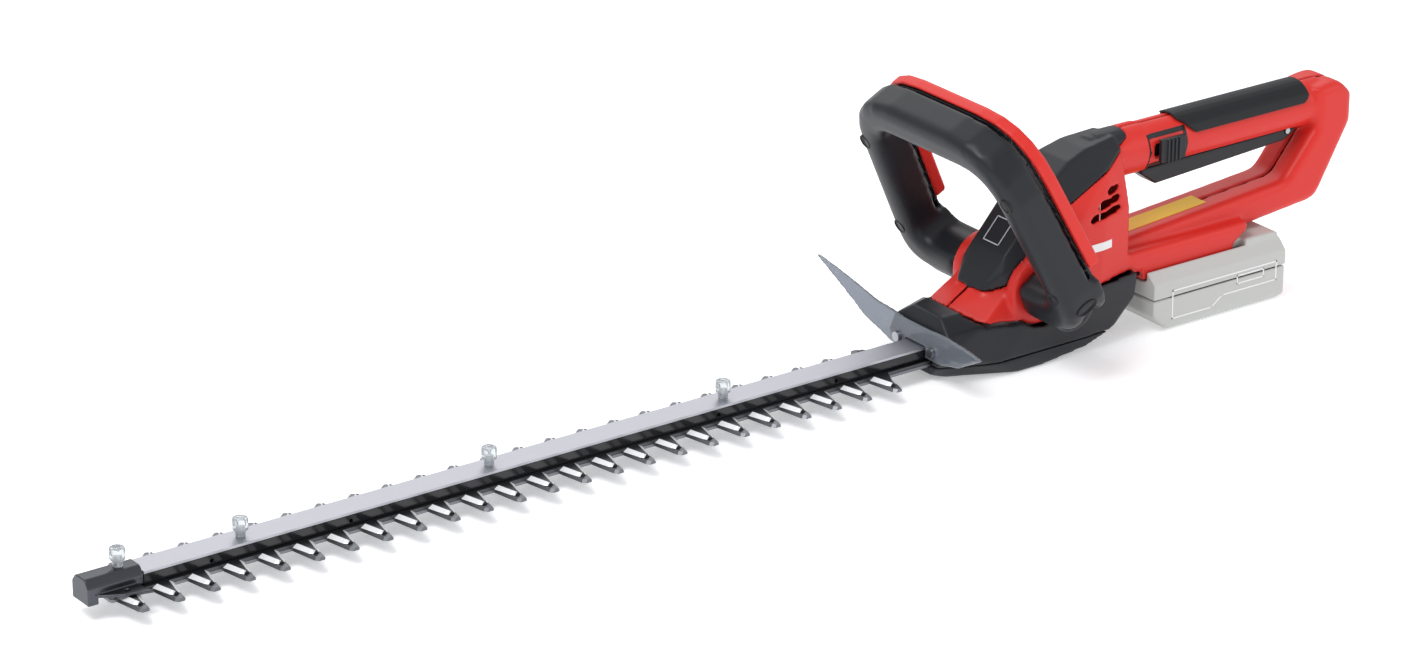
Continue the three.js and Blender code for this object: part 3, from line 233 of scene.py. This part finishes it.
def skin(obj, voxel, rounds):
    """Moulded look: an even skin over a solid, then softened edges."""
    remesh = obj.modifiers.new("skin", "REMESH")
    remesh.mode = "VOXEL"
    remesh.voxel_size = voxel * MM
    remesh.use_smooth_shade = True
    smooth = obj.modifiers.new("soften", "SMOOTH")
    smooth.factor = 0.5
    smooth.iterations = rounds


def lathe(profile, steps):
    """Solid of revolution about +Z from (radius, height) pairs in millimetres."""
    bm = bmesh.new()
    rings = []
    for radius, height in profile:
        if radius < ON_AXIS:
            rings.append([bm.verts.new((0, 0, height * MM))])
            continue
        ring = []
        for i in range(steps):
            angle = 2 * math.pi * i / steps
            x = radius * math.cos(angle)
            y = radius * math.sin(angle)
            ring.append(bm.verts.new((x * MM, y * MM, height * MM)))
        rings.append(ring)
    for low, high in zip(rings, rings[1:]):
        for i in range(steps):
            j = (i + 1) % steps
            if len(low) == 1:
                bm.faces.new((low[0], high[i], high[j]))
            elif len(high) == 1:
                bm.faces.new((low[i], low[j], high[0]))
            else:
                bm.faces.new((low[i], low[j], high[j], high[i]))
    return bm


def prism(points, low, high):
    """Prism of an (x, y) outline between two heights, all in millimetres."""
    bm = bmesh.new()
    bottom = [bm.verts.new((x * MM, y * MM, low * MM)) for x, y in points]
    top = [bm.verts.new((x * MM, y * MM, high * MM)) for x, y in points]
    bm.faces.new(bottom[::-1])
    bm.faces.new(top)
    for i in range(len(points)):
        j = (i + 1) % len(points)
        bm.faces.new((bottom[i], bottom[j], top[j], top[i]))
    return bm


def place(bm, origin, x_axis, y_axis):
    """Moves a mesh drawn in its own x, y, z to an origin (mm) with the given axes."""
    x_axis = Vector(x_axis).normalized()
    z_axis = x_axis.cross(Vector(y_axis)).normalized()
    y_axis = z_axis.cross(x_axis)
    turn = Matrix((x_axis, y_axis, z_axis)).transposed().to_4x4()
    move = Matrix.Translation(Vector(origin) * MM)
    bmesh.ops.transform(bm, matrix=move @ turn, verts=bm.verts)


# ---------------------------------------------------------------- moulded shells
# CAD node, voxel in mm, rounds of softening
SKINS = (
    ("housing_left", 1.4, 5),
    ("housing_right", 1.4, 5),
    ("top_hood", 0.9, 10),
    ("gear_housing", 1.4, 3),
    ("bottom_cover", 1.4, 3),
    ("front_switch_bar", 0.8, 6),
    ("grip_overmold", 0.7, 5),
    ("trigger", 0.7, 4),
    ("lock_off_slider", 0.4, 3),
    ("battery_base", 1.3, 3),
    ("battery_lid", 1.0, 3),
    ("battery_latch", 0.7, 3),
    ("tip_guard", 0.45, 1),
    ("blade_shield", 0.7, 6),
)
for name, voxel, rounds in SKINS:
    skin(NODES[name], voxel, rounds)
bevel(NODES["blade_rail"], 0.6)
bevel(NODES["cover_strip"], 0.5)

# The two handle shells share one skin, so that their joint doesn't show.
both = bmesh.new()
both.from_mesh(NODES["front_handle_front_shell"].data)
both.from_mesh(NODES["front_handle_rear_shell"].data)
grip_loop = new_piece("front_handle", both, BLACK, "body")
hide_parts("front_handle_front_shell", "front_handle_rear_shell")
skin(grip_loop, 1.4, 10)


# ---------------------------------------------------------------- ground blades
# Millimetres, after the CAD's teeth. The spine's edge is taken a little inside the CAD's,
# so that the tooth roots count, and the other limits lie just past the teeth.
TOOTH_PITCH = 24
LAST_TOOTH_X = 668.5
RIGHT_TEETH_BACK = 15
TOOTH_HALF_ROOT = 7.4
SPINE_EDGE = 12.4
TEETH_FROM_X = 110
TEETH_TO_X = 676.5
BLADE_WELD = 1e-6
BEVEL_SLOPE = (0.15, 0.97)
TOP_MARGIN = 0.1
PULL_SHARE = 0.75
TIP_SHARE = 0.5


def ground_blade(name, z_top, inset, mat, tip_from=None):
    """The blade with its top edges drawn in along each tooth.

    On the bright blade the sloping flanks this leaves are shown as ground metal. Past
    tip_from, the distance across from the middle, the tips are drawn back as well.
    """
    mesh = NODES[name].data.copy()
    mesh.name = name + "_ground"
    bm = bmesh.new()
    bm.from_mesh(mesh)
    bmesh.ops.remove_doubles(bm, verts=bm.verts, dist=BLADE_WELD)
    for vert in bm.verts:
        x, y, z = (value / MM for value in vert.co)
        side = 1 if y > 0 else -1
        if abs(y) < SPINE_EDGE or x < TEETH_FROM_X or x > TEETH_TO_X:
            continue
        if z < z_top - TOP_MARGIN:
            continue
        last = LAST_TOOTH_X - (RIGHT_TEETH_BACK if side < 0 else 0)
        centre = last - TOOTH_PITCH * round((last - x) / TOOTH_PITCH)
        away = x - centre
        if abs(away) > TOOTH_HALF_ROOT:
            continue
        pull = min(inset, abs(away) * PULL_SHARE)
        vert.co.x = (x - math.copysign(pull, away)) * MM
        if tip_from and abs(y) > tip_from:
            vert.co.y = (y - side * inset * TIP_SHARE) * MM
    bm.normal_update()
    if mat is BRIGHT_STEEL:
        for face in bm.faces:
            across = abs(face.calc_center_median().y / MM)
            slope = abs(face.normal.z)
            if across > SPINE_EDGE and BEVEL_SLOPE[0] < slope < BEVEL_SLOPE[1]:
                face.material_index = 1
    # The materials come before to_mesh, because clearing them resets the indices.
    mesh.materials.clear()
    mesh.materials.append(mat)
    mesh.materials.append(GROUND)
    bm.to_mesh(mesh)
    bm.free()
    piece = bpy.data.objects.new(name + "_ground", mesh)
    SCENE.collection.objects.link(piece)
    mesh.shade_flat()
    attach(piece, name)
    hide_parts(name)


ground_blade("lower_blade", 12.0, 1.3, DARK_STEEL, tip_from=31.0)
ground_blade("upper_blade", 14.3, 3.2, BRIGHT_STEEL)


# ---------------------------------------------------------------- turned studs
# (radius, height) in mm, with heights from the stud's foot, then from its top
STUD_FOOT = ((0, 0), (3.1, 0), (3.1, 3.9), (4.3, 4.1), (4.8, 4.7))
STUD_HEAD = ((4.8, -0.9), (4.5, -0.3), (3.9, 0), (2.2, 0), (1.9, -0.7), (0, -0.7))
STUD_STEPS = 48
for i in (1, 2, 3, 4):
    low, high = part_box("stud_%d" % i)
    centre_x = (low[0] + high[0]) / 2
    profile = [(radius, low[2] / MM + height) for radius, height in STUD_FOOT]
    profile += [(radius, high[2] / MM + height) for radius, height in STUD_HEAD]
    bm = lathe(profile, STUD_STEPS)
    bmesh.ops.translate(bm, vec=(centre_x, 0, 0), verts=bm.verts)
    stud = new_piece("turned_stud_%d" % i, bm, STUD, "body")
    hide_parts("stud_%d" % i)


# ---------------------------------------------------------------- handle screw wells
# The handle's plane leans forward about the axis of its pivot bolts.
TILT = math.radians(26.9)
HANDLE_ORIGIN = Vector((0.5, 0, 51))
UP = Vector((math.sin(TILT), 0, math.cos(TILT)))
OUT = Vector((math.cos(TILT), 0, -math.sin(TILT)))
ACROSS = Vector((0, 1, 0))
WELL_FACE = 19.05
WELL_OVAL = 1.2
WELL_STEPS = 36
WELL_RIM = ((0, -4), (4.6, -4), (4.6, -0.2), (4.2, 0.1), (3.6, 0.0), (3.5, -0.5), (0, -0.5))


def handle_point(v, u, n):
    """Point of the tilted handle: v across, u up its plane, n out of its front, in mm."""
    return HANDLE_ORIGIN + ACROSS * v + UP * u + OUT * n


# across, up, size of the rim
WELLS = ((72, 104.6, 1.0), (-72, 104.6, 1.0), (79, 27.6, 0.9), (-79, 27.6, 1.0))
# Each well's rim and floor are painted shade, standing for the shadow down in the screw
# recess.
for i, (v, u, size) in enumerate(WELLS):
    bm = lathe([(radius * size, height) for radius, height in WELL_RIM], WELL_STEPS)
    for vert in bm.verts:
        vert.co.y *= WELL_OVAL
    place(bm, handle_point(v, u, WELL_FACE), ACROSS, UP)
    new_piece("screw_well_%d" % (i + 1), bm, PAINTED_SHADE, "body")


# ---------------------------------------------------------------- surface markings
# Millimetres: where a ray starts in front of a marking, how far it looks, and how far it
# may find the surface before the marking is left flat.
RAY_START = 12
RAY_LENGTH = 40
MARK_REACH = 9.0
MARK_DEPTH = 0.5
LINE_LIFT = 0.25
LINE_STEPS = (8, 1)
TREES = {}


def tree_of(names):
    """Search tree of several CAD nodes together, made once for each group."""
    if names not in TREES:
        verts, faces = [], []
        for name in names:
            mesh = NODES[name].data
            start = len(verts)
            verts += [vert.co.copy() for vert in mesh.vertices]
            faces += [[start + i for i in poly.vertices] for poly in mesh.polygons]
        TREES[names] = BVHTree.FromPolygons(verts, faces)
    return TREES[names]


def marking(name, nodes, corners, look, mat, lift, steps, body="body"):
    """Thin plate that follows a moulding: corners in mm in order, look points into it."""
    tree = tree_of(nodes)
    look = Vector(look).normalized()
    a, b, c, d = (Vector(corner) for corner in corners)
    across, down = steps
    bm = bmesh.new()
    tops, lows = [], []
    for j in range(down + 1):
        t = j / down
        top_row, low_row = [], []
        for i in range(across + 1):
            s = i / across
            point = a.lerp(b, s).lerp(d.lerp(c, s), t)
            hit = tree.ray_cast((point - look * RAY_START) * MM, look, RAY_LENGTH * MM)
            spot = hit[0] / MM if hit[0] else point
            if (spot - point).length > MARK_REACH:
                spot = point
            top_row.append(bm.verts.new((spot - look * lift) * MM))
            low_row.append(bm.verts.new((spot + look * MARK_DEPTH) * MM))
        tops.append(top_row)
        lows.append(low_row)
    for j in range(down):
        for i in range(across):
            bm.faces.new((tops[j][i], tops[j][i + 1], tops[j + 1][i + 1], tops[j + 1][i]))
            bm.faces.new((lows[j][i], lows[j + 1][i], lows[j + 1][i + 1], lows[j][i + 1]))
    rim = [(0, i) for i in range(across)]
    rim += [(j, across) for j in range(down)]
    rim += [(down, i) for i in range(across, 0, -1)]
    rim += [(j, 0) for j in range(down, 0, -1)]
    for k, (j, i) in enumerate(rim):
        j2, i2 = rim[(k + 1) % len(rim)]
        bm.faces.new((tops[j][i], lows[j][i], lows[j2][i2], tops[j2][i2]))
    new_piece(name, bm, mat, body)


def outline_marks(name, nodes, corners, width, look, mat, body="body"):
    """Thin lines along a closed outline on a moulding."""
    points = [Vector(corner) for corner in corners]
    look = Vector(look).normalized()
    for i, start in enumerate(points):
        end = points[(i + 1) % len(points)]
        along = (end - start).normalized()
        across = along.cross(look).normalized() * (width / 2)
        start = start - along * (width / 2)
        end = end + along * (width / 2)
        quad = [start - across, end - across, end + across, start + across]
        part = "%s_%d" % (name, i + 1)
        marking(part, nodes, quad, look, mat, LINE_LIFT, LINE_STEPS, body)


INTO_LEFT = (0, -1, 0)
marking(
    "beam_label",
    ("housing_left", "housing_right"),
    [(-92, -7.6, 63), (-160, -7.6, 68), (-160, 7.6, 68), (-92, 7.6, 63)],
    (0, 0, -1),
    LABEL_YELLOW,
    lift=0.35,
    steps=(16, 4),
)
marking(
    "side_bar",
    ("housing_left",),
    [(-35, 34, 73.5), (-58, 34, 73.5), (-58, 34, 68), (-35, 34, 68)],
    INTO_LEFT,
    LABEL_WHITE,
    lift=0.3,
    steps=(12, 3),
)
outline_marks(
    "hood_outline",
    ("top_hood",),
    [(4, -8.5, 91), (4, 6.5, 91), (16, 6.5, 78), (16, -8.5, 78)],
    0.7,
    (-0.74, 0, -0.67),
    MARK_GREY,
)

# ---------------------------------------------------------------- lock slider recess
LOCK_BOTTOM = 108.5
LOCK_TOP = 128.5
RECESS = [(-136, 8.8), (-103, 8.8), (-103, 10.9), (-136, 10.9)]
# A thin plate in painted shade, standing for the shadow inside the slider's recess.
bm = prism(RECESS, LOCK_BOTTOM, LOCK_TOP)
new_piece("lock_recess_shade", bm, PAINTED_SHADE, "body")
outline_marks(
    "lock_frame",
    ("housing_left",),
    [
        (-102.6, 16, LOCK_TOP),
        (-133, 16, LOCK_TOP),
        (-133, 16, LOCK_BOTTOM),
        (-102.6, 16, LOCK_BOTTOM),
    ],
    2.6,
    INTO_LEFT,
    BLACK,
)

# ---------------------------------------------------------------- handle leg opening
OPENING_RIM = ((0, -1.2), (3.4, -1.2), (4.2, 0.25), (3.6, 0.45), (2.9, -0.6), (0, -0.7))
OPENING_STEPS = 32
OPENING_STRETCH = 2.1
# The opening's rim and floor are painted shade, standing for the shadow inside it.
bm = lathe(OPENING_RIM, OPENING_STEPS)
for vert in bm.verts:
    vert.co.x *= OPENING_STRETCH
place(bm, (9, 88.4, 59.8), (-0.92, 0, 0.39), (0.36, 0.1, 0.93))
new_piece("leg_opening", bm, PAINTED_SHADE, "body")

# ---------------------------------------------------------------- battery label lines
BATTERY_OUTLINES = (
    (
        "battery_panel",
        [
            (-107, 38, 27.5),
            (-197, 38, 27.5),
            (-197, 38, 14.5),
            (-150, 38, 14.5),
            (-141, 38, 8),
            (-107, 38, 8),
        ],
        0.9,
    ),
    (
        "battery_window",
        [(-163, 38, 25), (-186, 38, 25), (-186, 38, 19.5), (-163, 38, 19.5)],
        0.8,
    ),
)
for name, corners, width in BATTERY_OUTLINES:
    outline_marks(
        name,
        ("battery_base", "battery_lid"),
        corners,
        width,
        INTO_LEFT,
        LABEL_WHITE,
        "battery",
    )


# ---------------------------------------------------------------- camera, light, floor
TARGET = Vector((0.2475, 0.0, 0.0744))
AZIMUTH = math.radians(144.10)
ELEVATION = math.radians(22.46)
DISTANCE = 3.332
LENS = 137.6
SENSOR_WIDTH = 36.0
CLIP_END = 50.0
level = math.cos(ELEVATION)
back = Vector((math.sin(AZIMUTH) * level, -math.cos(AZIMUTH) * level, math.sin(ELEVATION)))
camera_data = bpy.data.cameras.new("camera")
camera_data.lens = LENS
camera_data.sensor_width = SENSOR_WIDTH
camera_data.clip_end = CLIP_END
camera = bpy.data.objects.new("camera", camera_data)
camera.location = TARGET + back * DISTANCE
camera.rotation_euler = (-back).to_track_quat("-Z", "Y").to_euler()
SCENE.collection.objects.link(camera)
SCENE.camera = camera
SCENE.view_settings.view_transform = "Standard"

LIGHT_AIM = Vector((0.1, 0, 0.05))


def area_light(name, location, size, power):
    data = bpy.data.lights.new(name, "AREA")
    data.shape = "RECTANGLE"
    data.size = size[0]
    data.size_y = size[1]
    data.energy = power
    light = bpy.data.objects.new(name, data)
    light.location = location
    aim = LIGHT_AIM - Vector(location)
    light.rotation_euler = aim.to_track_quat("-Z", "Y").to_euler()
    SCENE.collection.objects.link(light)


area_light("key", (1.5, 0.4, 2.3), (1.1, 1.1), 36.0)
area_light("back_fill", (-0.6, -1.7, 1.7), (2.2, 1.6), 14.0)
area_light("side_fill", (-1.6, 1.6, 1.0), (1.6, 1.2), 9.0)

WORLD_COLOR = (0.97, 0.98, 1.0, 1.0)
WORLD_STRENGTH = 0.62
world = bpy.data.worlds.new("studio")
world.use_nodes = True
background = world.node_tree.nodes["Background"]
background.inputs["Color"].default_value = WORLD_COLOR
background.inputs["Strength"].default_value = WORLD_STRENGTH
SCENE.world = world

FLOOR_HALF = 6.0
FLOOR_Z = -0.0005
FLOOR_GLOW = 0.34
FLOOR = shader("floor_pale", (0.94, 0.94, 0.96), 0.8, Emission_Strength=FLOOR_GLOW)
floor_bsdf = FLOOR.node_tree.nodes["Principled BSDF"]
floor_bsdf.inputs["Emission Color"].default_value = (1.0, 1.0, 1.0, 1.0)
add_grain(FLOOR, 8.0, 0.02, 0.0001)
floor_bm = bmesh.new()
bmesh.ops.create_grid(floor_bm, x_segments=1, y_segments=1, size=FLOOR_HALF)
floor_mesh = bpy.data.meshes.new("floor")
floor_bm.to_mesh(floor_mesh)
floor_bm.free()
floor_mesh.materials.append(FLOOR)
floor = bpy.data.objects.new("floor", floor_mesh)
floor.location.z = FLOOR_Z
SCENE.collection.objects.link(floor)
